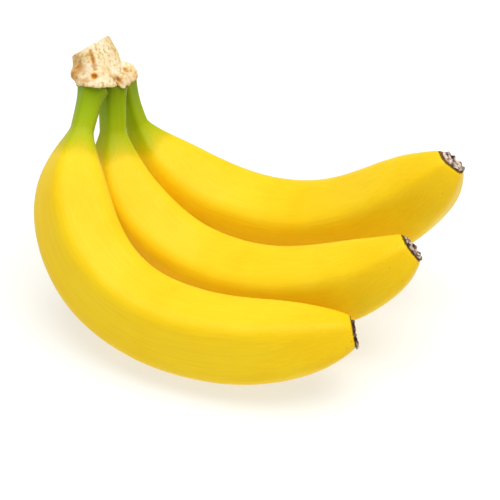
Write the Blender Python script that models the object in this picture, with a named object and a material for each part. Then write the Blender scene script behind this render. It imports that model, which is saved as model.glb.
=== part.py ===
# A bunch of three bananas still joined at the crown, lying on its bellies on a level surface.
# Metres, +Z up. The origin is on the surface, below the middle of the bunch.

import math

import bmesh
import bpy
import numpy as np
from mathutils import Vector

MM = 0.001

# Clearance between pieces that touch, and how far each belly is pressed flat where it lies
GAP = 0.3 * MM
REST_DEPTH = 0.35 * MM

# Typical length of a fruit along its centre line, and its typical radius at the fullest place
FRUIT_LENGTH = 209.0 * MM
FRUIT_RADIUS = 18.6 * MM

# Stalk: the green neck between the crown and the fruit. It flares out where it leaves the crown, and the
# peg that it ends in, inside the crown, narrows with its depth.
STALK_LENGTH = 19.5 * MM
FLARE_LENGTH = 5.0 * MM
PEG_DEPTH = 4.0 * MM
PEG_TAPER = 0.1

# Shoulder: where the stalk swells to the full fruit, quickly at first and then slowly
SHOULDER_LENGTH = 83.0 * MM
SHOULDER_START = 1.3
SHOULDER_FULLNESS = 5.9

# Taper: where the fruit narrows to its blossom end. Over the last stretch the cross-sections turn to the
# way the blossom end faces.
TAPER_LENGTH = 66.0 * MM
TAPER_FULLNESS = 3.0
TAPER_ROUNDING = 1.15
END_RADIUS = 6.5 * MM
FACE_TURN = 24.0 * MM

# Cross-section: a rounded pentagon, sharper on the stalk than on the fruit
RIDGES = 5
STALK_SHARPNESS = 7.0
FRUIT_SHARPNESS = 4.5

# Each fruit is bent in a plane of its own. heading is where the tip points, seen from above. pitch is the
# slope of the centre line at the stations: -90 is straight down and 0 is level. turn places the ridges
# around the fruit. All angles are in degrees. longer and fuller are what sets a fruit apart from a typical
# one, rise is how far the stalk runs on, straight, above the row of stalks before it enters the crown, and
# face is where the blossom end faces: its tilt from straight up, and its azimuth.
STATIONS = (0.0, 0.15, 0.33, 0.56, 0.80, 1.0)
FRUITS = {
    "front": {
        "place": -1, "longer": 1.0 * MM, "fuller": 0.0 * MM,
        "stalk": 5.1 * MM, "flare": 1.6 * MM, "rise": 1.0 * MM,
        "heading": -20.8, "pitch": (-94.0, -83.1, -55.2, -15.9, 11.8, 25.6), "turn": 88,
        "face": (80.5, 3.8),
    },
    "middle": {
        "place": 0, "longer": -1.0 * MM, "fuller": -0.4 * MM,
        "stalk": 6.0 * MM, "flare": 0.9 * MM, "rise": 1.2 * MM,
        "heading": -31.3, "pitch": (-78.4, -69.2, -27.5, 2.5, 27.9, 53.5), "turn": 80,
        "face": (53.4, 10.6),
    },
    "back": {
        "place": 1, "longer": 0.0 * MM, "fuller": 1.4 * MM,
        "stalk": 5.2 * MM, "flare": 0.4 * MM, "rise": 4.5 * MM,
        "heading": -26.0, "pitch": (-83.7, -56.3, -16.3, 13.1, 41.1, 57.0), "turn": 62,
        "face": (38.4, 10.0),
    },
}

# Fan: how far the middle fruit's plane is tipped from upright, and how far from the crown the neighbours'
# bellies lie side by side, which sets how far their planes are tipped from the middle one. The shoulders
# of neighbours keep at least a small distance, and the stalks move apart along the row where they need it.
MIDDLE_LEAN = 22.9
FAN_REACH = 90.0 * MM
SHOULDER_GAP = 0.5 * MM
ROOM_ROUNDS = 12

# Crown: the stalks leave it in a slightly bowed row. It swells over each stalk, and a block cut off flat
# stands above them, nearer the front stalk and leaning back.
STALK_GAP = 0.2 * MM
ROW_HEADING = 63.3
ROW_BOW = 1.0 * MM
LOBE_HEIGHT = 7.5 * MM
LOBE_WALL = 1.0 * MM
LIP_WALL = 0.6 * MM
BRIDGE_SHARE = 0.75
BLOCK_SHIFT = 4.0 * MM
BLOCK_HEIGHT = 20.8 * MM
BLOCK_LENGTH = 26.5 * MM
BLOCK_THICKNESS = 14.5 * MM
BLOCK_SPREAD = 1.25
BLOCK_SQUARENESS = 3.0
BLOCK_TILT = 39.0
BLOCK_AZIMUTH = 124.5
CUT_TILT = 39.5
CUT_AZIMUTH = 142.0

# Blossom end: the dried remnant of the flower, a thin crusty button
BUTTON_RADIUS = END_RADIUS - 0.2 * MM
BUTTON_HEIGHT = 1.8 * MM
BUTTON_BULGE = 0.3 * MM
BUTTON_LOBES = 0.04

# Mesh resolution
SECTION_SPACING = 5.0 * MM
POINTS_AROUND = 20
INTEGRATION_STEP = 1.0 * MM

PEEL = {"color": (0.90, 0.66, 0.02), "roughness": 0.45}
CORK = {"color": (0.80, 0.64, 0.38), "roughness": 0.85}
DRY = {"color": (0.07, 0.035, 0.02), "roughness": 0.90}


def remove_everything():
    for obj in list(bpy.data.objects):
        bpy.data.objects.remove(obj, do_unlink=True)


def principled(name, look):
    material = bpy.data.materials.new(name)
    material.use_nodes = True
    shader = material.node_tree.nodes["Principled BSDF"]
    shader.inputs["Base Color"].default_value = (*look["color"], 1.0)
    shader.inputs["Roughness"].default_value = look["roughness"]
    shader.inputs["Metallic"].default_value = 0.0
    return material


def direction(tilt, azimuth):
    # A unit vector tipped from straight up by tilt, towards azimuth, in degrees
    level = math.sin(math.radians(tilt))
    angle = math.radians(azimuth)
    return Vector((level * math.cos(angle), level * math.sin(angle), math.cos(math.radians(tilt))))


def smooth_through(stations, values, t):
    # A smooth curve through the values: cubic pieces that share their slopes
    x, y = np.array(stations), np.array(values)
    steps = np.diff(y) / np.diff(x)
    slopes = np.concatenate([steps[:1], (y[2:] - y[:-2]) / (x[2:] - x[:-2]), steps[-1:]])
    i = np.clip(np.searchsorted(x, t, side="right") - 1, 0, len(x) - 2)
    width = x[i + 1] - x[i]
    u = (t - x[i]) / width
    start = (1 + 2 * u) * (1 - u) ** 2 * y[i] + u * (1 - u) ** 2 * width * slopes[i]
    end = u**2 * (3 - 2 * u) * y[i + 1] - u**2 * (1 - u) * width * slopes[i + 1]
    return start + end


def length_of(fruit):
    return FRUIT_LENGTH + fruit["longer"]


def radius_of(fruit):
    return FRUIT_RADIUS + fruit["fuller"]


def lean(fruit):
    # How far the fruit's plane is tipped from upright, so that it lies beside the middle fruit
    beside = radius_of(fruit) + radius_of(FRUITS["middle"])
    step = 2 * math.asin(beside / (2 * FAN_REACH))
    return math.radians(MIDDLE_LEAN) - fruit["place"] * step


def bending_plane(fruit):
    # level runs towards the tip, rise is the plane's upward direction and side is square to both
    heading, tip = math.radians(fruit["heading"]), lean(fruit)
    level = np.array([math.cos(heading), math.sin(heading), 0.0])
    rise = np.array([-math.sin(heading) * math.sin(tip), math.cos(heading) * math.sin(tip), math.cos(tip)])
    return level, rise, np.cross(level, rise)


def centre_line(fruit, s):
    # Points and directions at the distances s, from the crown at the origin; it runs straight before s = 0
    level, rise, _ = bending_plane(fruit)
    length = length_of(fruit)
    steps = max(1, round(length / INTEGRATION_STEP))
    grid = np.linspace(0.0, length, steps + 1)

    def direction_at(distance):
        pitch = np.radians(smooth_through(STATIONS, fruit["pitch"], np.clip(distance / length, 0.0, 1.0)))
        return np.cos(pitch)[:, None] * level + np.sin(pitch)[:, None] * rise

    along = direction_at(grid)
    moves = (along[1:] + along[:-1]) / 2 * (length / steps)
    path = np.concatenate([np.zeros((1, 3)), np.cumsum(moves, axis=0)])
    inside = np.maximum(s, 0.0)
    points = np.stack([np.interp(inside, grid, path[:, axis]) for axis in range(3)], axis=1)
    return points + np.minimum(s, 0.0)[:, None] * along[0], direction_at(s)


def radius_along(fruit, s):
    rise = np.clip((s - STALK_LENGTH) / SHOULDER_LENGTH, 0.0, 1.0)
    shoulder = 1 - (1 - rise**SHOULDER_START) ** SHOULDER_FULLNESS
    body = fruit["stalk"] + (radius_of(fruit) - fruit["stalk"]) * shoulder
    left = np.clip((length_of(fruit) - s) / TAPER_LENGTH, 0.0, 1.0)
    taper = (1 - (1 - left) ** TAPER_FULLNESS) ** (1 / TAPER_ROUNDING)
    from_lip = s + fruit["rise"]
    fading = np.where(from_lip < 0, PEG_DEPTH / 2, FLARE_LENGTH)
    flare = fruit["flare"] * np.exp(-np.abs(from_lip) / fading)
    peg = PEG_TAPER * np.minimum(from_lip, 0.0)
    return END_RADIUS + (body - END_RADIUS) * taper + flare + peg


def sharpness_along(fruit, s):
    swelling = np.clip((s - STALK_LENGTH) / (SHOULDER_LENGTH / 2), 0.0, 1.0)
    return STALK_SHARPNESS + (FRUIT_SHARPNESS - STALK_SHARPNESS) * swelling


def pentagon(angle, sharpness):
    # Distance from the centre to a rounded polygon whose ridges start at angle 0; its mean size is 1
    facets = (np.arange(RIDGES) + 0.5) * 2 * math.pi / RIDGES
    facing = np.maximum(np.cos(angle[..., None] - facets), 0.0)
    reach = np.sum(facing ** sharpness[..., None], axis=-1) ** (-1 / sharpness)
    at_ridge = 2 ** (-1 / sharpness) / math.cos(math.pi / RIDGES)
    return reach * 2 / (1 + at_ridge)


def section_planes(fruit, s):
    # Centre of each cross-section, the direction square to it, and two directions in its plane
    points, along = centre_line(fruit, s)
    turned = np.clip(1 - (length_of(fruit) - s) / FACE_TURN, 0.0, 1.0)
    turned = (turned**2 * (3 - 2 * turned))[:, None]
    facing = along * (1 - turned) + np.array(direction(*fruit["face"])) * turned
    facing /= np.linalg.norm(facing, axis=1)[:, None]
    inward = np.cross(bending_plane(fruit)[2], facing)
    inward /= np.linalg.norm(inward, axis=1)[:, None]
    return points, facing, inward, np.cross(facing, inward)


def skin_points(fruit, s, around, extra=0.0):
    # Rows of points around the fruit at the distances s; extra stands the skin off by a clearance
    points, _, inward, side = section_planes(fruit, s)
    turn = math.radians(fruit["turn"])
    angle = np.arange(around) * 2 * math.pi / around
    angle = np.broadcast_to(angle, (len(s), around))
    sharpness = np.broadcast_to(sharpness_along(fruit, s)[:, None], angle.shape)
    reach = radius_along(fruit, s)[:, None] * pentagon(angle, sharpness) + extra
    outward = (np.cos(angle + turn)[..., None] * inward[:, None, :]
               + np.sin(angle + turn)[..., None] * side[:, None, :])
    return points[:, None, :] + reach[..., None] * outward


def at_crown(fruit):
    return fruit["stalk"] + fruit["flare"]


def height_above_rest(fruit):
    # Height of the crown end, with the belly lying on the surface
    s = np.arange(0.0, length_of(fruit), INTEGRATION_STEP)
    return -skin_points(fruit, s, RIDGES * 12)[..., 2].min() - REST_DEPTH


def place_in_row(fruit, spacing):
    # Where the stalk meets the crown, at that spacing along the bowed row
    angle = math.radians(ROW_HEADING)
    row = np.array([math.cos(angle), math.sin(angle), 0.0])
    across = np.array([math.sin(angle), -math.cos(angle), 0.0])
    bow = ROW_BOW * (1 - abs(fruit["place"]))
    return row * fruit["place"] * spacing + across * bow + np.array([0.0, 0.0, height_above_rest(fruit)])


def crown_end(fruit):
    # The stalks stand side by side, or further apart where the shoulders of the fruits need the room
    middle = FRUITS["middle"]
    spacing = at_crown(fruit) + at_crown(middle) + STALK_GAP
    if fruit is middle:
        return place_in_row(middle, spacing)
    lines = []
    for neighbour in (fruit, middle):
        s = np.arange(STALK_LENGTH, length_of(neighbour), 2 * INTEGRATION_STEP)
        lines.append((centre_line(neighbour, s)[0], radius_along(neighbour, s)))
    (beside, own), (between, others) = lines
    between = between + place_in_row(middle, spacing)
    for _ in range(ROOM_ROUNDS):
        offset = place_in_row(fruit, spacing)
        apart = np.linalg.norm((beside + offset)[:, None] - between[None], axis=2)
        room = (apart - own[:, None] - others[None]).min()
        spacing += max(0.0, SHOULDER_GAP - room)
    return offset


def mesh_object(name, bm, material=None):
    bmesh.ops.recalc_face_normals(bm, faces=bm.faces)
    mesh = bpy.data.meshes.new(name)
    bm.to_mesh(mesh)
    bm.free()
    obj = bpy.data.objects.new(name, mesh)
    bpy.context.scene.collection.objects.link(obj)
    if material:
        mesh.materials.append(material)
        mesh.shade_smooth()
        mesh.set_sharp_from_angle(angle=math.radians(40))
    return obj


def lofted(rings):
    # A closed body through rings of points, all with the same number of points
    bm = bmesh.new()
    rows = [[bm.verts.new(point) for point in ring] for ring in rings]
    for lower, upper in zip(rows, rows[1:]):
        for i in range(len(lower)):
            j = (i + 1) % len(lower)
            bm.faces.new((lower[i], lower[j], upper[j], upper[i]))
    bm.faces.new(rows[0])
    bm.faces.new(rows[-1])
    return bm


def sections(start, end):
    return np.linspace(start, end, max(2, math.ceil((end - start) / SECTION_SPACING) + 1))


def build_fruit(name, fruit, material):
    end = length_of(fruit)
    lip = -fruit["rise"]
    body = sections(0.0, end - END_RADIUS)
    s = np.concatenate([[lip - PEG_DEPTH, lip], body, [end - END_RADIUS / 3, end]])
    bm = lofted(skin_points(fruit, s, POINTS_AROUND) + crown_end(fruit))
    # The belly is flat where it lies on the surface
    everything = bm.verts[:] + bm.edges[:] + bm.faces[:]
    cut = bmesh.ops.bisect_plane(
        bm, geom=everything, plane_co=(0, 0, 0), plane_no=(0, 0, -1), clear_outer=True)
    rim = [item for item in cut["geom_cut"] if isinstance(item, bmesh.types.BMEdge)]
    bmesh.ops.edgeloop_fill(bm, edges=rim)
    return mesh_object(f"banana_{name}", bm, material)


def build_blossom_end(name, fruit, material):
    # Height and radius of the button, from the face against the fruit to its raised middle
    profile = (
        (0.0, BUTTON_RADIUS),
        (0.4 * BUTTON_HEIGHT, BUTTON_RADIUS + BUTTON_BULGE),
        (0.8 * BUTTON_HEIGHT, 0.86 * BUTTON_RADIUS),
        (0.7 * BUTTON_HEIGHT, 0.55 * BUTTON_RADIUS),
        (BUTTON_HEIGHT, 0.25 * BUTTON_RADIUS),
    )
    planes = section_planes(fruit, np.array([length_of(fruit)]))
    point, facing, inward, side = (rows[0] for rows in planes)
    around = RIDGES * 4
    rings = []
    for height, radius in profile:
        centre = point + crown_end(fruit) + facing * (GAP + height)
        ring = []
        for i in range(around):
            angle = i * 2 * math.pi / around
            reach = radius * (1 + BUTTON_LOBES * math.cos(RIDGES * angle))
            turned = angle + math.radians(fruit["turn"])
            ring.append(centre + reach * (math.cos(turned) * inward + math.sin(turned) * side))
        rings.append(ring)
    return mesh_object(f"blossom_end_{name}", lofted(rings), material)


def as_guide(obj):
    obj.hide_render = True
    obj.display_type = "WIRE"
    return obj


def add_boolean(obj, operation, other):
    boolean = obj.modifiers.new(f"{operation}_{other.name}".lower(), "BOOLEAN")
    boolean.operation = operation
    boolean.solver = "EXACT"
    boolean.object = as_guide(other)


def disc(centre, axis, radius, around):
    across = axis.orthogonal().normalized()
    other = axis.cross(across)
    angles = (i * 2 * math.pi / around for i in range(around))
    return [centre + radius * (math.cos(angle) * across + math.sin(angle) * other) for angle in angles]


def stalk_top(fruit):
    # Where the stalk enters the crown, and the way it points there
    point, along = centre_line(fruit, np.array([-fruit["rise"]]))
    return Vector(crown_end(fruit) + point[0]), -Vector(along[0])


def build_lobe(name, fruit):
    # The swelling of the crown over one stalk, on the stalk's own line, from its lip to its top
    lip, up = stalk_top(fruit)
    inner = at_crown(fruit) + GAP
    profile = (
        (0.0, inner + LIP_WALL),
        (0.25 * LOBE_HEIGHT, inner + LOBE_WALL),
        (0.60 * LOBE_HEIGHT, inner + LIP_WALL),
        (LOBE_HEIGHT, 0.6 * inner),
    )
    rings = [disc(lip + up * height, up, radius, POINTS_AROUND) for height, radius in profile]
    return mesh_object(f"lobe_{name}", lofted(rings))


def build_bridge(name, fruit):
    # The tissue between one outer stalk's lobe and the middle one's
    ends = []
    for stalk in (fruit, FRUITS["middle"]):
        lip, up = stalk_top(stalk)
        ends.append(lip + up * LOBE_HEIGHT / 2)
    across = (ends[1] - ends[0]).normalized()
    radius = BRIDGE_SHARE * LOBE_HEIGHT / 2
    rings = [disc(end, across, radius, POINTS_AROUND) for end in ends]
    return mesh_object(f"bridge_{name}", lofted(rings))


def build_peg_space(name, fruit):
    # The stalk with its clearance: what the crown leaves open for it
    lip = -fruit["rise"]
    s = np.concatenate([[lip - PEG_DEPTH - GAP, lip], sections(0.0, 3 * FLARE_LENGTH)])
    rings = skin_points(fruit, s, POINTS_AROUND, GAP) + crown_end(fruit)
    return mesh_object(f"peg_space_{name}", lofted(rings))


def block_ring(centre, axis, row, size):
    # A rounded rectangle square to axis, with its long side along the row of stalks
    along = (row - row.dot(axis) * axis).normalized()
    across = axis.cross(along)
    around = POINTS_AROUND + 4
    ring = []
    for i in range(around):
        angle = i * 2 * math.pi / around
        x, y = math.cos(angle), math.sin(angle)
        bulk = abs(x) ** BLOCK_SQUARENESS + abs(y) ** BLOCK_SQUARENESS
        reach = size / 2 * bulk ** (-1 / BLOCK_SQUARENESS)
        ring.append(centre + reach * (x * along * BLOCK_LENGTH + y * across * BLOCK_THICKNESS))
    return ring


def build_crown(material):
    bases = [Vector(crown_end(fruit)) for fruit in FRUITS.values()]
    row = (bases[-1] - bases[0]).normalized()
    low = sum(bases, Vector()) / len(bases) - row * BLOCK_SHIFT
    high = low + direction(BLOCK_TILT, BLOCK_AZIMUTH) * BLOCK_HEIGHT
    axis_low = direction(BLOCK_TILT / 2, BLOCK_AZIMUTH)
    axis_high = direction(CUT_TILT, CUT_AZIMUTH)
    rings = []
    for level in (0.25, 0.5, 0.75, 1.0):
        axis = axis_low.lerp(axis_high, level).normalized()
        size = BLOCK_SPREAD + (1 - BLOCK_SPREAD) * level
        rings.append(block_ring(low.lerp(high, level), axis, row, size))
    crown = mesh_object("crown", lofted(rings), material)
    for name, fruit in FRUITS.items():
        add_boolean(crown, "UNION", build_lobe(name, fruit))
    for name in ("front", "back"):
        add_boolean(crown, "UNION", build_bridge(name, FRUITS[name]))
    for name, fruit in FRUITS.items():
        add_boolean(crown, "DIFFERENCE", build_peg_space(name, fruit))
    return crown


def centre_on_origin(pieces):
    # Moves the whole bunch sideways, so that the origin is below the middle of its outline
    bpy.context.view_layer.update()
    depsgraph = bpy.context.evaluated_depsgraph_get()
    points = []
    for piece in pieces:
        mesh = piece.evaluated_get(depsgraph).to_mesh()
        points += [vertex.co.copy() for vertex in mesh.vertices]
    middle = [(min(p[axis] for p in points) + max(p[axis] for p in points)) / 2 for axis in (0, 1)]
    for obj in bpy.data.objects:
        for vertex in obj.data.vertices:
            vertex.co.x -= middle[0]
            vertex.co.y -= middle[1]


def main():
    remove_everything()
    peel, cork, dry = principled("peel", PEEL), principled("crown", CORK), principled("dried_flower", DRY)
    pieces = [build_crown(cork)]
    for name, fruit in FRUITS.items():
        pieces.append(build_fruit(name, fruit, peel))
        pieces.append(build_blossom_end(name, fruit, dry))
    centre_on_origin(pieces)


main()
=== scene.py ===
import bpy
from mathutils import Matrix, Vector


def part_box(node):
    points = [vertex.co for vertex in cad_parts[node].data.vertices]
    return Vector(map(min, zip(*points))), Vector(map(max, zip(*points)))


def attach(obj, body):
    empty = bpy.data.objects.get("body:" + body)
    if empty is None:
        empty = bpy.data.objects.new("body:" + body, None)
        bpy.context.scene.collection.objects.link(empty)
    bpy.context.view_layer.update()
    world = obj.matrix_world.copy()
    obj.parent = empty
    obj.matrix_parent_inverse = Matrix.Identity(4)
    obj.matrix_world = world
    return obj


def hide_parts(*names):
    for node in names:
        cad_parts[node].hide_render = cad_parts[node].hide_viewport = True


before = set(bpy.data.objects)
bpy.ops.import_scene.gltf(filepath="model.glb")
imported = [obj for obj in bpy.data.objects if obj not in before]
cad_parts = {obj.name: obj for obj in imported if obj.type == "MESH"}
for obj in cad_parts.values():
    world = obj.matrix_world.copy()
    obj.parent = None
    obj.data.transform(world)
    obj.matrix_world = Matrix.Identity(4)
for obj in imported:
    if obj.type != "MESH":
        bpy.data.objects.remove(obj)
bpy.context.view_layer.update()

import math

import bmesh
import bpy
import numpy as np
from mathutils import Vector, kdtree, noise

mm = 0.001
print("frame loaded:", ", ".join(sorted(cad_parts)))


def linear(hexColour):
    # sRGB hex to the linear colour that a shader takes
    channels = [int(hexColour[i:i + 2], 16) / 255 for i in (1, 3, 5)]
    return (*[c / 12.92 if c <= 0.04045 else ((c + 0.055) / 1.055) ** 2.4 for c in channels], 1.0)


def addNode(tree, kind, inputs, stops=(), **settings):
    # One shader node: its settings, its inputs as values or links, and the stops of a colour ramp,
    # which are its first, its last and then those between
    node = tree.nodes.new("ShaderNode" + kind)
    for name, value in settings.items():
        setattr(node, name, value)
    for name, value in inputs.items():
        if isinstance(value, bpy.types.NodeSocket):
            tree.links.new(value, node.inputs[name])
        else:
            node.inputs[name].default_value = value
    for i, (position, colour) in enumerate(stops):
        stop = node.color_ramp.elements[i] if i < 2 else node.color_ramp.elements.new(position)
        stop.position = position
        stop.color = linear(colour) if isinstance(colour, str) else (colour, colour, colour, 1.0)
    return node


def newMaterial(name, **constants):
    material = bpy.data.materials.new(name)
    material.use_nodes = True
    shader = material.node_tree.nodes["Principled BSDF"]
    for socket, value in constants.items():
        shader.inputs[socket.replace("_", " ")].default_value = value
    return material, material.node_tree, shader


def finishPiece(name, bm, material, node):
    # The piece's object at the origin, riding on the bunch and standing for its plain solid
    mesh = bpy.data.meshes.new(name)
    bm.to_mesh(mesh)
    bm.free()
    mesh.materials.append(material)
    mesh.shade_smooth()
    piece = bpy.data.objects.new(name, mesh)
    bpy.context.scene.collection.objects.link(piece)
    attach(piece, "root")
    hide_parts(node)
    return piece


def lumps(points, size, seed):
    # Smooth noise between about -1 and 1 at each point, with lumps about that big
    shift = Vector((seed * 17.3, seed * 5.9, seed * 11.1))
    return np.array([noise.noise(Vector(point) / size + shift) for point in points])


# The shape that all the fruits share, with distances along the centre line from the crown end
fruitShape = {
    "length": 209.0 * mm, "radius": 18.6 * mm, "endRadius": 6.5 * mm,
    "faceTurn": 24.0 * mm,
    "stalkLength": 19.5 * mm, "flareLength": 5.0 * mm, "pegDepth": 4.0 * mm, "pegTaper": 0.9,
    "swayLength": 9.0 * mm,
    "shoulderLength": 83.0 * mm, "shoulderStart": 1.3, "shoulderFullness": 5.9,
    "taperLength": 66.0 * mm, "taperFullness": 3.0, "taperRounding": 1.15,
    "ridges": 5, "stalkSharpness": 7.5, "fruitSharpness": 7.0,
    "stations": (0.0, 0.15, 0.33, 0.56, 0.80, 1.0), "restDepth": 0.35 * mm,
    "middleLean": 22.9, "fanReach": 90.0 * mm,
    "ringSpacing": 1.1 * mm, "pointsAround": 96,
}
# Each fruit's own build. Pitches are its slopes in degrees at the stations, heading and turn are degrees
# too, and face is the tilt and the bearing of the blossom end. Sway moves the stalk's top sideways.
fruits = {
    "front": {
        "place": -1, "longer": 1.0 * mm, "fuller": 0.0 * mm,
        "stalk": 5.1 * mm, "flare": 2.4 * mm, "rise": 1.0 * mm,
        "sway": (-1.3 * mm, 0.0, 0.0),
        "heading": -20.8, "pitch": (-94.0, -83.1, -55.2, -15.9, 11.8, 25.6), "turn": 98, "twist": -16,
        "face": (80.5, 3.8),
    },
    "middle": {
        "place": 0, "longer": -1.0 * mm, "fuller": -0.4 * mm,
        "stalk": 6.0 * mm, "flare": 0.9 * mm, "rise": 1.2 * mm,
        "sway": (0.0, 0.0, 0.0),
        "heading": -31.3, "pitch": (-78.4, -69.2, -27.5, 2.5, 27.9, 53.5), "turn": 74, "twist": 6,
        "face": (53.4, 10.6),
    },
    "back": {
        "place": 1, "longer": 0.0 * mm, "fuller": 1.4 * mm,
        "stalk": 5.2 * mm, "flare": 0.4 * mm, "rise": 4.5 * mm,
        "sway": (0.0, 0.0, 0.0),
        "heading": -26.0, "pitch": (-83.7, -56.3, -16.3, 13.1, 41.1, 57.0), "turn": 44, "twist": 21,
        "face": (38.4, 10.0),
    },
}
# How far a grown skin strays from the plain shape, which fades out before the blossom end
skinUnevenness = {
    "swellSize": 26 * mm, "swellHeight": 0.32 * mm,
    "facetSize": 9 * mm, "facetHeight": 0.07 * mm,
    "fibreWidth": 1.1 * mm, "fibreLength": 16 * mm, "fibreHeight": 0.035 * mm,
    "fade": 8 * mm,
}


def smoothThrough(stations, values, t):
    # A smooth curve through the values: cubic pieces that share their slopes
    x, y = np.array(stations), np.array(values)
    steps = np.diff(y) / np.diff(x)
    slopes = np.concatenate([steps[:1], (y[2:] - y[:-2]) / (x[2:] - x[:-2]), steps[-1:]])
    i = np.clip(np.searchsorted(x, t, side="right") - 1, 0, len(x) - 2)
    width = x[i + 1] - x[i]
    u = (t - x[i]) / width
    start = (1 + 2 * u) * (1 - u) ** 2 * y[i] + u * (1 - u) ** 2 * width * slopes[i]
    end = u**2 * (3 - 2 * u) * y[i + 1] - u**2 * (1 - u) * width * slopes[i + 1]
    return start + end


def bendingPlane(fruit):
    # level runs towards the tip, rise is the plane's upward direction and side is square to both
    beside = 2 * fruitShape["radius"] + fruit["fuller"] + fruits["middle"]["fuller"]
    tip = math.radians(fruitShape["middleLean"])
    tip -= fruit["place"] * 2 * math.asin(beside / (2 * fruitShape["fanReach"]))
    heading = math.radians(fruit["heading"])
    level = np.array([math.cos(heading), math.sin(heading), 0.0])
    rise = np.array([-math.sin(heading) * math.sin(tip), math.cos(heading) * math.sin(tip), math.cos(tip)])
    return level, rise, np.cross(level, rise)


def centreLine(fruit, s):
    # Points and directions at the distances s, from the crown end at the origin
    level, rise, _ = bendingPlane(fruit)
    length = fruitShape["length"] + fruit["longer"]
    grid = np.linspace(0.0, length, round(length / mm) + 1)

    def directionAt(distance):
        t = np.clip(distance / length, 0.0, 1.0)
        pitch = np.radians(smoothThrough(fruitShape["stations"], fruit["pitch"], t))
        return np.cos(pitch)[:, None] * level + np.sin(pitch)[:, None] * rise

    along = directionAt(grid)
    moves = (along[1:] + along[:-1]) / 2 * (grid[1] - grid[0])
    path = np.concatenate([np.zeros((1, 3)), np.cumsum(moves, axis=0)])
    inside = np.maximum(s, 0.0)
    points = np.stack([np.interp(inside, grid, path[:, axis]) for axis in range(3)], axis=1)
    return points + np.minimum(s, 0.0)[:, None] * along[0], directionAt(s)


def sectionPlanes(fruit, s):
    # Centre of each cross-section, the direction square to it, and two directions in its plane
    points, along = centreLine(fruit, s)
    length = fruitShape["length"] + fruit["longer"]
    turned = np.clip(1 - (length - s) / fruitShape["faceTurn"], 0.0, 1.0)
    turned = (turned**2 * (3 - 2 * turned))[:, None]
    tilt, azimuth = (math.radians(degrees) for degrees in fruit["face"])
    face = (math.sin(tilt) * math.cos(azimuth), math.sin(tilt) * math.sin(azimuth), math.cos(tilt))
    facing = along * (1 - turned) + np.array(face) * turned
    facing /= np.linalg.norm(facing, axis=1)[:, None]
    inward = np.cross(bendingPlane(fruit)[2], facing)
    inward /= np.linalg.norm(inward, axis=1)[:, None]
    return points, facing, inward, np.cross(facing, inward)


def radiusAlong(fruit, s):
    shape = fruitShape
    swelling = np.clip((s - shape["stalkLength"]) / shape["shoulderLength"], 0.0, 1.0)
    shoulder = 1 - (1 - swelling ** shape["shoulderStart"]) ** shape["shoulderFullness"]
    body = fruit["stalk"] + (shape["radius"] + fruit["fuller"] - fruit["stalk"]) * shoulder
    left = np.clip((shape["length"] + fruit["longer"] - s) / shape["taperLength"], 0.0, 1.0)
    taper = (1 - (1 - left) ** shape["taperFullness"]) ** (1 / shape["taperRounding"])
    fromLip = s + fruit["rise"]
    fading = np.where(fromLip < 0, shape["pegDepth"] / 2, shape["flareLength"])
    flare = fruit["flare"] * np.exp(-np.abs(fromLip) / fading)
    peg = shape["pegTaper"] * np.minimum(fromLip, 0.0)
    return shape["endRadius"] + (body - shape["endRadius"]) * taper + flare + peg


def ridgedSection(fruit, s, angle):
    # Distance from the centre to a rounded pentagon with its ridges at even angles, and how near a ridge is
    shape = fruitShape
    easing = np.clip((s - shape["stalkLength"]) / (shape["shoulderLength"] / 2), 0.0, 1.0)
    sharpness = shape["stalkSharpness"] + (shape["fruitSharpness"] - shape["stalkSharpness"]) * easing
    facets = (np.arange(shape["ridges"]) + 0.5) * 2 * math.pi / shape["ridges"]
    facing = np.maximum(np.cos(angle[:, None] - facets), 0.0)
    reach = np.sum(facing ** sharpness[:, None], axis=1) ** (-1 / sharpness)
    atRidge = 2 ** (-1 / sharpness) / math.cos(math.pi / shape["ridges"])
    nearRidge = np.clip((reach - 1) / (atRidge - 1), 0.0, 1.0)
    return radiusAlong(fruit, s) * reach * 2 / (1 + atRidge), nearRidge


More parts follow.
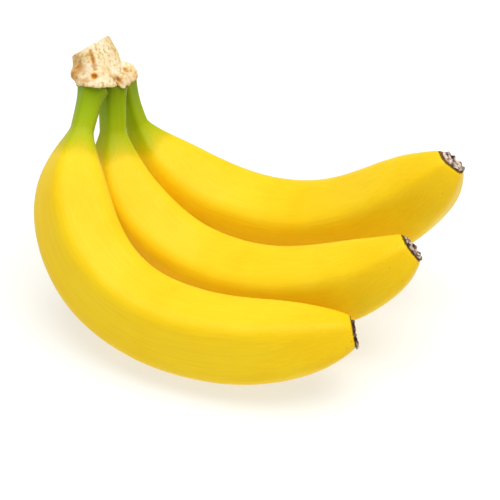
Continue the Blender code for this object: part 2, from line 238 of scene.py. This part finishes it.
def growFruit(name, fruit, material, seed):
    # A grid rolled up round the centre line and closed at both ends
    shape, uneven = fruitShape, skinUnevenness
    length = shape["length"] + fruit["longer"]
    start = -fruit["rise"] - shape["pegDepth"]
    rings = round((length - start) / shape["ringSpacing"])
    bm = bmesh.new()
    bmesh.ops.create_grid(bm, x_segments=shape["pointsAround"], y_segments=rings, size=1)
    grid = np.array([vert.co for vert in bm.verts])
    angle = (grid[:, 0] + 1) * math.pi
    s = start + (length - start) * (grid[:, 1] + 1) / 2
    reach, nearRidge = ridgedSection(fruit, s, angle)
    straight = np.stack([np.cos(angle) * reach, np.sin(angle) * reach, s], axis=1)
    onFruit = np.clip(s / shape["stalkLength"] / 2, 0.0, 1.0)
    onFruit *= np.clip((length - s) / uneven["fade"], 0.0, 1.0)
    fibres = straight / (uneven["fibreWidth"], uneven["fibreWidth"], uneven["fibreLength"])
    reach += onFruit * uneven["swellHeight"] * lumps(straight, uneven["swellSize"], seed)
    reach += onFruit * uneven["facetHeight"] * lumps(straight, uneven["facetSize"], seed + 1)
    reach += onFruit * uneven["fibreHeight"] * lumps(fibres, 1.0, seed + 2)
    centres, _, inward, side = sectionPlanes(fruit, s)
    centres += np.exp(-np.maximum(s + fruit["rise"], 0.0) / shape["swayLength"])[:, None] * fruit["sway"]
    turned = (angle + np.radians(fruit["turn"] + fruit["twist"] * s / length))[:, None]
    points = centres + reach[:, None] * (np.cos(turned) * inward + np.sin(turned) * side)
    # Over the plain solid in plan, and as high as lets the belly lie pressed flat on the surface
    low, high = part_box(f"banana_{name}")
    place = np.array((low + high) / 2) - (points.min(axis=0) + points.max(axis=0)) / 2
    place[2] = -points[:, 2].min() - shape["restDepth"]
    points += place
    points[:, 2] = np.maximum(points[:, 2], 0.0)
    straightLayer = bm.verts.layers.float_vector.new("straightened")
    ridgeLayer = bm.verts.layers.float.new("ridge")
    for vert, point, unbent, ridge in zip(bm.verts, points, straight, nearRidge):
        vert.co = point
        vert[straightLayer] = unbent
        vert[ridgeLayer] = ridge
    bmesh.ops.remove_doubles(bm, verts=bm.verts, dist=0.01 * mm)
    bmesh.ops.holes_fill(bm, edges=[edge for edge in bm.edges if edge.is_boundary], sides=0)
    bmesh.ops.recalc_face_normals(bm, faces=bm.faces)
    return finishPiece(f"{name}Banana", bm, material, f"banana_{name}"), place


# Banana skin: waxy and smooth, so it takes a broad, soft highlight and lets a little light in. The stalk
# ripens last and is still green: each colour of the ripening is at a distance from the crown.
peelFinish = {
    "ripening": (
        (0.0, "#84A004"), (12 * mm, "#98B206"), (20 * mm, "#A9B706"),
        (25 * mm, "#BABC06"), (29 * mm, "#D0BF06"), (34 * mm, "#F3D01A"),
    ),
    "ripeningEnd": 40 * mm, "raggedness": 5 * mm, "ridgeLag": 2 * mm,
    "yellowFrom": 30 * mm, "yellowBy": 45 * mm,
    "ripe": "#F5D01C", "ripeDeep": "#F3C60A", "tip": "#EDB604", "edge": "#6B4A10", "speck": "#7A4A12",
    "tipReach": 26 * mm, "tipShare": 0.25,
    "edgeFrom": 0.05 * mm, "edgeBy": -0.35 * mm, "edgeRaggedness": 1.2 * mm,
    "speckSpacing": 2.6 * mm, "speckFrom": 0.13, "speckBy": 0.05, "speckRarity": 0.72,
    "speckReach": 34 * mm, "fewSpecks": 0.04, "manySpecks": 0.55,
    "roughness": 0.42, "unevenGloss": 0.06, "ior": 1.45, "softness": 0.05, "softnessDepth": 1.6 * mm,
    "cloudSize": 22 * mm, "fibreWidth": 0.9 * mm, "fibreLength": 18 * mm, "poreSize": 0.55 * mm,
}


def bananaSkin(name, fruit):
    look = peelFinish
    material, tree, shader = newMaterial(
        f"{name}BananaSkin", Roughness=look["roughness"], IOR=look["ior"], Specular_IOR_Level=0.15,
        Subsurface_Weight=look["softness"], Subsurface_Scale=look["softnessDepth"],
        Subsurface_Radius=(1.0, 0.6, 0.15))
    length = fruitShape["length"] + fruit["longer"]
    unbent = addNode(tree, "Attribute", {}, attribute_name="straightened").outputs["Vector"]
    ridge = addNode(tree, "Attribute", {}, attribute_name="ridge").outputs["Fac"]
    place = addNode(tree, "SeparateXYZ", {"Vector": unbent}).outputs["Z"]
    clouds = addNode(tree, "TexNoise", {"Vector": unbent, "Scale": 1 / look["cloudSize"], "Detail": 3.0})
    stretch = (1 / look["fibreWidth"], 1 / look["fibreWidth"], 1 / look["fibreLength"])
    fibreSpace = addNode(tree, "Mapping", {"Vector": unbent, "Scale": stretch})
    fibres = addNode(tree, "TexNoise", {"Vector": fibreSpace.outputs[0], "Scale": 1.0, "Detail": 2.0})
    pores = addNode(tree, "TexNoise", {"Vector": unbent, "Scale": 1 / look["poreSize"], "Detail": 2.0})
    # The green gives way raggedly, a little further down the ridges than between them
    ragged = addNode(tree, "Math", {
        0: clouds.outputs["Fac"], 1: -look["raggedness"], 2: place}, operation="MULTIPLY_ADD")
    ridged = addNode(tree, "Math", {
        0: ridge, 1: -look["ridgeLag"], 2: ragged.outputs[0]}, operation="MULTIPLY_ADD")
    ripeness = addNode(tree, "MapRange", {
        "Value": ridged.outputs[0], "From Min": -look["raggedness"] / 2,
        "From Max": look["ripeningEnd"] - look["raggedness"] / 2})
    (first, *between, last) = [(at / look["ripeningEnd"], tone) for at, tone in look["ripening"]]
    ripening = addNode(tree, "ValToRGB", {"Fac": ripeness.outputs[0]}, stops=(first, last, *between))
    # Slow drift between two yellows
    cloudy = addNode(tree, "MapRange", {
        "Value": clouds.outputs["Fac"], "From Min": 0.40, "From Max": 0.70, "To Max": 0.7})
    deep = addNode(tree, "MixRGB", {
        "Fac": cloudy.outputs[0], "Color1": linear(look["ripe"]),
        "Color2": linear(look["ripeDeep"])})
    onYellow = addNode(tree, "MapRange", {
        "Value": ridged.outputs[0], "From Min": look["yellowFrom"], "From Max": look["yellowBy"]})
    body = addNode(tree, "MixRGB", {
        "Fac": onYellow.outputs[0], "Color1": ripening.outputs[0], "Color2": deep.outputs[0]})
    fibreTone = addNode(tree, "MapRange", {
        "Value": fibres.outputs["Fac"], "From Min": 0.3, "From Max": 0.7, "To Min": 0.955, "To Max": 1.02})
    streaked = addNode(tree, "MixRGB", {
        "Fac": 1.0, "Color1": body.outputs[0], "Color2": fibreTone.outputs[0]}, blend_type="MULTIPLY")
    # Towards the blossom end: warmer, then a thin dark edge round the dried flower
    fromTip = addNode(tree, "Math", {0: length, 1: place}, operation="SUBTRACT")
    tipRagged = addNode(tree, "Math", {
        0: pores.outputs["Fac"], 1: -look["edgeRaggedness"], 2: fromTip.outputs[0]}, operation="MULTIPLY_ADD")
    nearTip = addNode(tree, "MapRange", {
        "Value": fromTip.outputs[0], "From Min": look["tipReach"], "From Max": 1 * mm,
        "To Max": look["tipShare"]})
    warmer = addNode(tree, "MixRGB", {
        "Fac": nearTip.outputs[0], "Color1": streaked.outputs[0], "Color2": linear(look["tip"])})
    specks = addNode(tree, "TexVoronoi", {
        "Vector": unbent, "Scale": 1 / look["speckSpacing"], "Randomness": 1.0})
    isSpeck = addNode(tree, "MapRange", {
        "Value": specks.outputs["Distance"], "From Min": look["speckFrom"], "From Max": look["speckBy"]})
    speckChance = addNode(tree, "SeparateColor", {"Color": specks.outputs["Color"]})
    rare = addNode(tree, "Math", {
        0: speckChance.outputs[0], 1: look["speckRarity"]}, operation="GREATER_THAN")
    speckTip = addNode(tree, "MapRange", {
        "Value": fromTip.outputs[0], "From Min": look["speckReach"], "From Max": 4 * mm,
        "To Min": look["fewSpecks"], "To Max": look["manySpecks"]})
    speckFac = addNode(tree, "Math", {0: isSpeck.outputs[0], 1: rare.outputs[0]}, operation="MULTIPLY")
    speckAmount = addNode(tree, "Math", {
        0: speckFac.outputs[0], 1: speckTip.outputs[0]}, operation="MULTIPLY")
    specked = addNode(tree, "MixRGB", {
        "Fac": speckAmount.outputs[0], "Color1": warmer.outputs[0], "Color2": linear(look["speck"])})
    atEdge = addNode(tree, "MapRange", {
        "Value": tipRagged.outputs[0], "From Min": look["edgeFrom"], "From Max": look["edgeBy"]})
    edged = addNode(tree, "MixRGB", {
        "Fac": atEdge.outputs[0], "Color1": specked.outputs[0], "Color2": linear(look["edge"])})
    tree.links.new(edged.outputs[0], shader.inputs["Base Color"])
    # Fine pores and lengthways fibres, and a slightly uneven gloss
    gloss = addNode(tree, "MapRange", {
        "Value": clouds.outputs["Fac"], "From Min": 0.3, "From Max": 0.7,
        "To Min": look["roughness"] - look["unevenGloss"],
        "To Max": look["roughness"] + look["unevenGloss"]})
    tree.links.new(gloss.outputs[0], shader.inputs["Roughness"])
    relief = addNode(tree, "Math", {
        0: fibres.outputs["Fac"], 1: 1.5, 2: pores.outputs["Fac"]}, operation="MULTIPLY_ADD")
    bump = addNode(tree, "Bump", {
        "Height": relief.outputs[0], "Strength": 0.25, "Distance": 0.06 * mm})
    tree.links.new(bump.outputs[0], shader.inputs["Normal"])
    return material


skins = {}
crownEnds = {}
for seed, (name, fruit) in enumerate(fruits.items()):
    skins[name], crownEnds[name] = growFruit(name, fruit, bananaSkin(name, fruit), seed * 7 + 3)
print("fruits grown")


# Places are in millimetres from the middle of the crown's box. A push is a centre, a reach and how far the
# tissue moves there. A lip is a point that its level rim passes through, the rim's tilt and its spread.
# A furrow is the line it follows, its width and its depth. A stain is a centre, a reach and a strength.
crownShape = {
    "voxel": 0.40 * mm, "smoothing": 4,
    "lumpSize": 3.0 * mm, "lumpHeight": 0.35 * mm,
    "flakeSize": 1.3 * mm, "flakeHeight": 0.22 * mm,
    "pushes": (
        ((-12.3, -10.0, 1.5), 4.2, (-2.6, -0.5, 0.0)),
        ((-12.0, -7.8, 5.2), 2.2, (1.7, 0.5, 0.0)),
        ((9.0, 7.9, -3.6), 4.0, (-1.6, -0.9, -1.0)),
        ((12.5, 7.5, -6.0), 4.0, (-1.6, -1.0, -1.6)),
        ((-9.4, -13.7, -0.8), 3.0, (-0.6, -1.3, -1.4)),
        ((-0.7, -8.4, -7.9), 3.5, (0.7, 1.5, 1.6)),
        ((8.4, -6.8, -6.4), 2.0, (0.8, -0.5, -0.9)),
    ),
    "lips": {"front": {"through": (-4.2, -18.2, -0.7), "tilt": 24, "spread": 0.9}},
    "lipReach": 3.5, "lipWidth": 2.5, "lipFade": 1.6, "lipBearings": 30, "lipSlide": 4.5, "lipSmoothing": 2,
    # Painted shade: the stain colour darkens the furrows by their depth and a thin edge where the cork meets
    # the stalks
    "edgeWidth": 1.1 * mm, "joinShadeStrength": 0.9, "furrowShade": 0.7,
    "furrows": (
        (((-5.3, -6.4, 11.3), (-3.9, -9.3, 7.9), (-3.5, -11.8, 5.3)), 0.8, 1.1),
        (((-3.5, -15.3, 4.2), (-3.4, -15.6, 3.6)), 1.2, 1.7),
        (((6.1, -6.0, -3.1), (8.6, -5.9, -6.2)), 0.8, 0.9),
    ),
    "stains": (
        ((-10.3, -9.6, 5.0), 2.8, 0.9),
        ((-13.5, -11.0, 1.7), 2.4, 0.7),
        ((-3.5, -15.3, 4.0), 1.6, 1.0),
        ((-4.3, -9.0, 8.4), 1.2, 0.6),
        ((6.6, -6.0, -3.8), 1.6, 0.6),
    ),
}
# Dried stem tissue, cut and healed to cork: matt, pale cream with tan stains and short fibres. The stain
# colour also paints shade in the furrows and along the edge where the cork meets the stalks
crownFinish = {
    "cream": "#F3E2B8", "pale": "#FCF0D8", "tan": "#D9A650", "stainAndShade": "#C98A1C",
    "roughness": 0.75, "ior": 1.4,
    "flakeTones": ((0.42, "#FFFFFF"), (0.68, "#D8B984"), (0.54, "#FAF2E2")),
    "stainSize": 9 * mm, "flakeSize": 1.8 * mm, "fibreWidth": 0.7 * mm, "fibreLength": 6 * mm,
}


def corkySkin():
    look = crownFinish
    material, tree, shader = newMaterial(
        "corkedStem", Roughness=look["roughness"], IOR=look["ior"], Specular_IOR_Level=0.3,
        Subsurface_Weight=0.1, Subsurface_Scale=1.0 * mm, Subsurface_Radius=(1.0, 0.6, 0.3))
    place = addNode(tree, "TexCoord", {}).outputs["Object"]
    stains = addNode(tree, "TexNoise", {"Vector": place, "Scale": 1 / look["stainSize"], "Detail": 3.0})
    flakes = addNode(tree, "TexNoise", {"Vector": place, "Scale": 1 / look["flakeSize"], "Detail": 4.0})
    stretch = (1 / look["fibreWidth"], 1 / look["fibreWidth"], 1 / look["fibreLength"])
    fibreSpace = addNode(tree, "Mapping", {"Vector": place, "Scale": stretch})
    fibres = addNode(tree, "TexNoise", {"Vector": fibreSpace.outputs[0], "Scale": 1.0, "Detail": 3.0})
    cloudy = addNode(tree, "ValToRGB", {"Fac": stains.outputs["Fac"]}, stops=(
        (0.30, look["pale"]), (0.78, look["tan"]), (0.52, look["cream"])))
    # The stain attribute mixes in the stain colour: real stains plus painted shade in the furrows and at the
    # stalks' edge
    stainedAndShaded = addNode(tree, "Attribute", {}, attribute_name="stainAndShade")
    base = addNode(tree, "MixRGB", {
        "Fac": stainedAndShaded.outputs["Fac"], "Color1": cloudy.outputs[0], "Color2": linear(look["stainAndShade"])})
    flaked = addNode(tree, "ValToRGB", {"Fac": flakes.outputs["Fac"]}, stops=look["flakeTones"])
    toned = addNode(tree, "MixRGB", {
        "Fac": 1.0, "Color1": base.outputs[0], "Color2": flaked.outputs[0]}, blend_type="MULTIPLY")
    fibreTone = addNode(tree, "ValToRGB", {"Fac": fibres.outputs["Fac"]}, stops=((0.35, 0.86), (0.6, 1.0)))
    fibred = addNode(tree, "MixRGB", {
        "Fac": 0.8, "Color1": toned.outputs[0], "Color2": fibreTone.outputs[0]}, blend_type="MULTIPLY")
    tree.links.new(fibred.outputs[0], shader.inputs["Base Color"])
    relief = addNode(tree, "Math", {
        0: fibres.outputs["Fac"], 1: 1.0, 2: flakes.outputs["Fac"]}, operation="MULTIPLY_ADD")
    bump = addNode(tree, "Bump", {
        "Height": relief.outputs[0], "Strength": 0.6, "Distance": 0.25 * mm})
    tree.links.new(bump.outputs[0], shader.inputs["Normal"])
    return material


def smoothed(bm, times):
    for _ in range(times):
        bmesh.ops.smooth_vert(
            bm, verts=bm.verts, factor=0.5, use_axis_x=True, use_axis_y=True, use_axis_z=True)


def levelLip(bm, fruit, crownEnd, middle, lip):
    # The cork's rim round a stalk, slid along the stalk until it lies in one plane, and spread a little
    shape = crownShape
    _, along = centreLine(fruit, np.array([0.0]))
    axis = along[0]
    across = np.cross(axis, (0.0, 0.0, 1.0))
    across /= np.linalg.norm(across)
    beside = np.cross(axis, across)
    points = (np.array([vert.co for vert in bm.verts]) - crownEnd) / mm
    down = points @ axis
    out = points - down[:, None] * axis
    away = np.linalg.norm(out, axis=1)
    stalk = (fruit["stalk"] + fruit["flare"]) / mm
    angle = np.arctan2(out @ beside, out @ across)
    # How far down the cork reaches, bearing by bearing
    bearings = np.linspace(-math.pi, math.pi, shape["lipBearings"], endpoint=False)
    nearStalk = np.abs(away - stalk) < shape["lipWidth"]
    rim = []
    for bearing in bearings:
        there = nearStalk & (np.cos(angle - bearing) > math.cos(math.pi / shape["lipBearings"]))
        rim.append(down[there].max() if there.any() else 0.0)
    rim = np.interp(angle, bearings, rim, period=2 * math.pi)
    # How far down the plane lies at each point's bearing
    tilt = math.radians(lip["tilt"])
    level = np.array([0.0, math.sin(tilt), math.cos(tilt)])
    onStalk = stalk * (np.cos(angle)[:, None] * across + np.sin(angle)[:, None] * beside)
    through = np.array(lip["through"]) + (middle - crownEnd) / mm
    wanted = (through - onStalk) @ level / (axis @ level)
    share = np.exp(-((down - rim) / shape["lipReach"]) ** 2)
    share = share * np.clip(shape["lipFade"] - (away - stalk) / shape["lipWidth"], 0.0, 1.0)
    slide = np.clip(wanted - rim, -shape["lipSlide"], shape["lipSlide"]) * share
    outward = out / np.maximum(away, 0.1)[:, None]
    moves = slide[:, None] * axis + (lip["spread"] * share)[:, None] * outward
    for vert, move in zip(bm.verts, moves):
        vert.co += Vector(move) * mm
    smoothed(bm, shape["lipSmoothing"])


def stalkJoinShade(bm):
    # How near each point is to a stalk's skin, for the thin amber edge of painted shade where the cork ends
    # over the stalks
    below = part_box("crown")[0].z - 2 * mm
    near = [vert.co for skin in skins.values() for vert in skin.data.vertices if vert.co.z > below]
    tree = kdtree.KDTree(len(near))
    for i, place in enumerate(near):
        tree.insert(place, i)
    tree.balance()
    away = np.array([tree.find(vert.co)[2] for vert in bm.verts])
    return np.exp(-(away / crownShape["edgeWidth"]) ** 2)


def growCrown(material):
    # The plain crown's own form, remeshed finely and roughened
    shape = crownShape
    bm = bmesh.new()
    bm.from_mesh(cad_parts["crown"].data)
    bmesh.ops.remove_doubles(bm, verts=bm.verts, dist=0.001 * mm)
    blank = bpy.data.meshes.new("crownBlank")
    bm.to_mesh(blank)
    bm.free()
    carrier = bpy.data.objects.new("crownBlank", blank)
    bpy.context.scene.collection.objects.link(carrier)
    remesh = carrier.modifiers.new("fine", "REMESH")
    remesh.mode = "VOXEL"
    remesh.voxel_size = shape["voxel"]
    bpy.context.view_layer.update()
    fine = bpy.data.meshes.new_from_object(carrier.evaluated_get(bpy.context.evaluated_depsgraph_get()))
    bpy.data.objects.remove(carrier)
    bm = bmesh.new()
    bm.from_mesh(fine)
    smoothed(bm, shape["smoothing"])
    low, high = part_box("crown")
    middle = np.array((low + high) / 2)
    for place, reach, push in shape["pushes"]:
        points = (np.array([vert.co for vert in bm.verts]) - middle) / mm
        share = np.exp(-(np.linalg.norm(points - place, axis=1) / reach) ** 2)
        for vert, amount in zip(bm.verts, share):
            vert.co += Vector(push) * (amount * mm)
    for name, lip in shape["lips"].items():
        levelLip(bm, fruits[name], crownEnds[name], middle, lip)
    bm.normal_update()
    points = (np.array([vert.co for vert in bm.verts]) - middle) / mm
    depth = np.zeros(len(points))
    for line, width, deep in shape["furrows"]:
        for start, end in zip(line, line[1:]):
            start, end = np.array(start), np.array(end)
            t = np.clip((points - start) @ (end - start) / ((end - start) @ (end - start)), 0.0, 1.0)
            away = np.linalg.norm(points - start - t[:, None] * (end - start), axis=1)
            depth = np.maximum(depth, deep * np.exp(-(away / width) ** 2))
    for vert, deep in zip(bm.verts, depth):
        vert.co -= vert.normal * (deep * mm)
    # Painted shade, darker the deeper each furrow and along the stalks' edge, added to the listed stains
    stains = shape["furrowShade"] * depth + shape["joinShadeStrength"] * stalkJoinShade(bm)
    for place, reach, strength in shape["stains"]:
        stains += strength * np.exp(-(np.linalg.norm(points - place, axis=1) / reach) ** 2)
    stainAndShadeLayer = bm.verts.layers.float.new("stainAndShade")
    for vert, amount in zip(bm.verts, stains):
        vert[stainAndShadeLayer] = amount
    points = np.array([vert.co for vert in bm.verts])
    rough = shape["lumpHeight"] * lumps(points, shape["lumpSize"], 41)
    rough += shape["flakeHeight"] * lumps(points, shape["flakeSize"], 42)
    for vert, height in zip(bm.verts, rough):
        vert.co += vert.normal * (height - shape["flakeHeight"] / 2)
    return finishPiece("crownCork", bm, material, "crown")


growCrown(corkySkin())
print("crown grown")


# A rim of withered petal stubs round a sunken papery floor, with the scar of the style in the middle.
# Where the rim and the scar lie and how wide they are is in shares of the radius.
flowerShape = {
    "around": 96, "rows": 56, "radius": 6.0 * mm, "height": 0.9 * mm, "sink": 0.8 * mm, "scar": 0.6 * mm,
    "rimAt": 0.86, "rimWidth": 0.15, "scarAt": 0.05, "scarWidth": 0.22, "edgeWidth": 0.04,
    "stubs": 9, "stubHeight": 0.7 * mm, "stubSpread": 0.5 * mm, "stubWander": 2.5,
    "wanderSize": 5 * mm, "wander": 0.04, "patchSize": 2.4 * mm, "patchContrast": 1.6, "patchMiddle": 0.55,
    "thinnest": 0.15 * mm,
    "lumpSize": 1.5 * mm, "lumpHeight": 0.35 * mm, "crumbSize": 0.6 * mm, "crumbHeight": 0.16 * mm,
}
# Withered petals and style: brittle, matt, nearly black with pale papery flecks
flowerFinish = {
    "crust": "#24140F", "bark": "#472C24", "papery": "#EAD6C4", "husk": "#957364",
    "roughness": 0.75, "ior": 1.4, "patchSize": 1.9 * mm, "crumbSize": 0.7 * mm,
}


def driedPetals():
    look = flowerFinish
    material, tree, shader = newMaterial(
        "driedPetals", Roughness=look["roughness"], IOR=look["ior"], Specular_IOR_Level=0.35)
    place = addNode(tree, "TexCoord", {}).outputs["Object"]
    patches = addNode(tree, "TexNoise", {
        "Vector": place, "Scale": 1 / look["patchSize"], "Detail": 4.0, "Distortion": 0.6})
    crumbs = addNode(tree, "TexNoise", {"Vector": place, "Scale": 1 / look["crumbSize"], "Detail": 3.0})
    dark = addNode(tree, "ValToRGB", {"Fac": patches.outputs["Fac"]}, stops=(
        (0.40, look["crust"]), (0.84, look["husk"]), (0.62, look["bark"])))
    pale = addNode(tree, "ValToRGB", {"Fac": patches.outputs["Fac"]}, stops=(
        (0.36, look["bark"]), (0.56, look["papery"]), (0.44, look["husk"])))
    papery = addNode(tree, "Attribute", {}, attribute_name="papery")
    colour = addNode(tree, "MixRGB", {
        "Fac": papery.outputs["Fac"], "Color1": dark.outputs[0], "Color2": pale.outputs[0]})
    tree.links.new(colour.outputs[0], shader.inputs["Base Color"])
    bump = addNode(tree, "Bump", {
        "Height": crumbs.outputs["Fac"], "Strength": 0.8, "Distance": 0.25 * mm})
    tree.links.new(bump.outputs[0], shader.inputs["Normal"])
    return material


def growFlower(name, fruit, material, seed):
    # A ball flattened against the fruit's end and raised into stubs, a sunken floor and a scar
    shape = flowerShape
    node = f"blossom_end_{name}"
    length = fruitShape["length"] + fruit["longer"]
    _, facing, inward, side = (Vector(rows[0]) for rows in sectionPlanes(fruit, np.array([length])))
    bm = bmesh.new()
    bmesh.ops.create_uvsphere(bm, u_segments=shape["around"], v_segments=shape["rows"], radius=1)
    ball = np.array([vert.co for vert in bm.verts])
    spread = np.clip(np.hypot(ball[:, 0], ball[:, 1]), 0.0, 1.0)
    angle = np.arctan2(ball[:, 1], ball[:, 0])
    ring = np.stack([np.cos(angle) * shape["radius"], np.sin(angle) * shape["radius"], 0 * angle], axis=1)
    wander = lumps(ring, shape["wanderSize"], seed + 2)
    stub = 0.5 + 0.5 * np.cos(shape["stubs"] * angle + shape["stubWander"] * wander)
    atRim = np.exp(-((spread - shape["rimAt"]) / shape["rimWidth"]) ** 2)
    atScar = np.exp(-((spread - shape["scarAt"]) / shape["scarWidth"]) ** 2)
    radius = shape["radius"] * (1 + shape["wander"] * wander) + shape["stubSpread"] * (stub - 0.5)
    height = shape["height"] * (1 - spread**6) ** 0.5 + shape["stubHeight"] * stub * atRim * (1 + wander)
    height += shape["scar"] * atScar - shape["sink"] * (1 - atRim) * (1 - spread**3)
    crumpled = np.stack([ball[:, 0] * radius, ball[:, 1] * radius, height], axis=1)
    height += shape["lumpHeight"] * lumps(crumpled, shape["lumpSize"], seed)
    height += shape["crumbHeight"] * lumps(crumpled, shape["crumbSize"], seed + 1)
    crumpled[:, 2] = np.where(ball[:, 2] > 0.01, np.maximum(height, shape["thinnest"]), 0.0)
    # Pale and dark patches, dark at the scar and along the very edge
    patches = lumps(crumpled * (1, 1, 0), shape["patchSize"], seed + 3)
    papery = np.clip(shape["patchMiddle"] + shape["patchContrast"] * patches - 0.5 * atScar, 0.0, 1.0)
    papery *= np.clip((1 - spread) / shape["edgeWidth"], 0.0, 1.0)
    paperyLayer = bm.verts.layers.float.new("papery")
    for vert, point, pale in zip(bm.verts, crumpled, papery):
        vert.co = point[0] * inward + point[1] * side + point[2] * facing
        vert[paperyLayer] = pale
    # Over the plain button's middle, with its back where the button's is
    low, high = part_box(node)
    points = np.array([vert.co for vert in bm.verts])
    shift = (low + high) / 2 - Vector((points.min(axis=0) + points.max(axis=0)) / 2)
    buttonBack = min(vert.co.dot(facing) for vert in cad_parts[node].data.vertices)
    back = min(vert.co.dot(facing) for vert in bm.verts)
    shift += facing * (buttonBack - back - shift.dot(facing))
    bmesh.ops.translate(bm, verts=bm.verts, vec=shift)
    bmesh.ops.recalc_face_normals(bm, faces=bm.faces)
    return finishPiece(f"{name}Flower", bm, material, node)


petals = driedPetals()
for seed, (name, fruit) in enumerate(fruits.items()):
    growFlower(name, fruit, petals, seed * 5 + 61)
print("dried flowers grown")


studio = {
    "floorTone": "#B4B2AE", "floorGlow": (0.56, 0.58, 0.58), "floorSize": 8.0, "sky": 0.5,
    "softboxPlace": (0.16, -0.05, 1.35), "softboxSize": 1.5, "softboxPower": 18.0,
}
view = {
    "target": (1.14 * mm, 40.33 * mm, 0.0), "above": 1.27 * mm,
    "elevation": 34.9, "distance": 0.9, "lens": 138.7, "sensorWidth": 36,
}


def buildStudio():
    bm = bmesh.new()
    bmesh.ops.create_grid(bm, x_segments=1, y_segments=1, size=studio["floorSize"] / 2)
    mesh = bpy.data.meshes.new("floor")
    bm.to_mesh(mesh)
    bm.free()
    # Opal acrylic lit from beneath, which keeps the shadows on it pale
    material, _, _ = newMaterial(
        "opalAcrylic", Base_Color=linear(studio["floorTone"]), Roughness=0.9, Specular_IOR_Level=0.1,
        Emission_Color=(*studio["floorGlow"], 1.0), Emission_Strength=1.0)
    mesh.materials.append(material)
    floor = bpy.data.objects.new("floor", mesh)
    bpy.context.scene.collection.objects.link(floor)
    world = bpy.data.worlds.new("studio")
    bpy.context.scene.world = world
    world.use_nodes = True
    world.node_tree.nodes["Background"].inputs["Color"].default_value = (1.0, 1.0, 1.0, 1.0)
    world.node_tree.nodes["Background"].inputs["Strength"].default_value = studio["sky"]
    light = bpy.data.lights.new("overheadSoftbox", "AREA")
    light.shape = "DISK"
    light.size = studio["softboxSize"]
    light.energy = studio["softboxPower"]
    softbox = bpy.data.objects.new("overheadSoftbox", light)
    softbox.location = studio["softboxPlace"]
    softbox.rotation_euler = (-softbox.location).to_track_quat("-Z", "Y").to_euler()
    bpy.context.scene.collection.objects.link(softbox)


def placeCamera():
    tilt = math.radians(view["elevation"])
    forward = Vector((0.0, math.cos(tilt), -math.sin(tilt)))
    up = Vector((0.0, math.sin(tilt), math.cos(tilt)))
    camera = bpy.data.objects.new("camera", bpy.data.cameras.new("camera"))
    camera.data.lens = view["lens"]
    camera.data.sensor_width = view["sensorWidth"]
    camera.location = Vector(view["target"]) + up * view["above"] - forward * view["distance"]
    camera.rotation_euler = forward.to_track_quat("-Z", "Y").to_euler()
    bpy.context.scene.collection.objects.link(camera)
    bpy.context.scene.camera = camera


buildStudio()
placeCamera()
bpy.context.scene.view_settings.view_transform = "Standard"
print("studio ready")
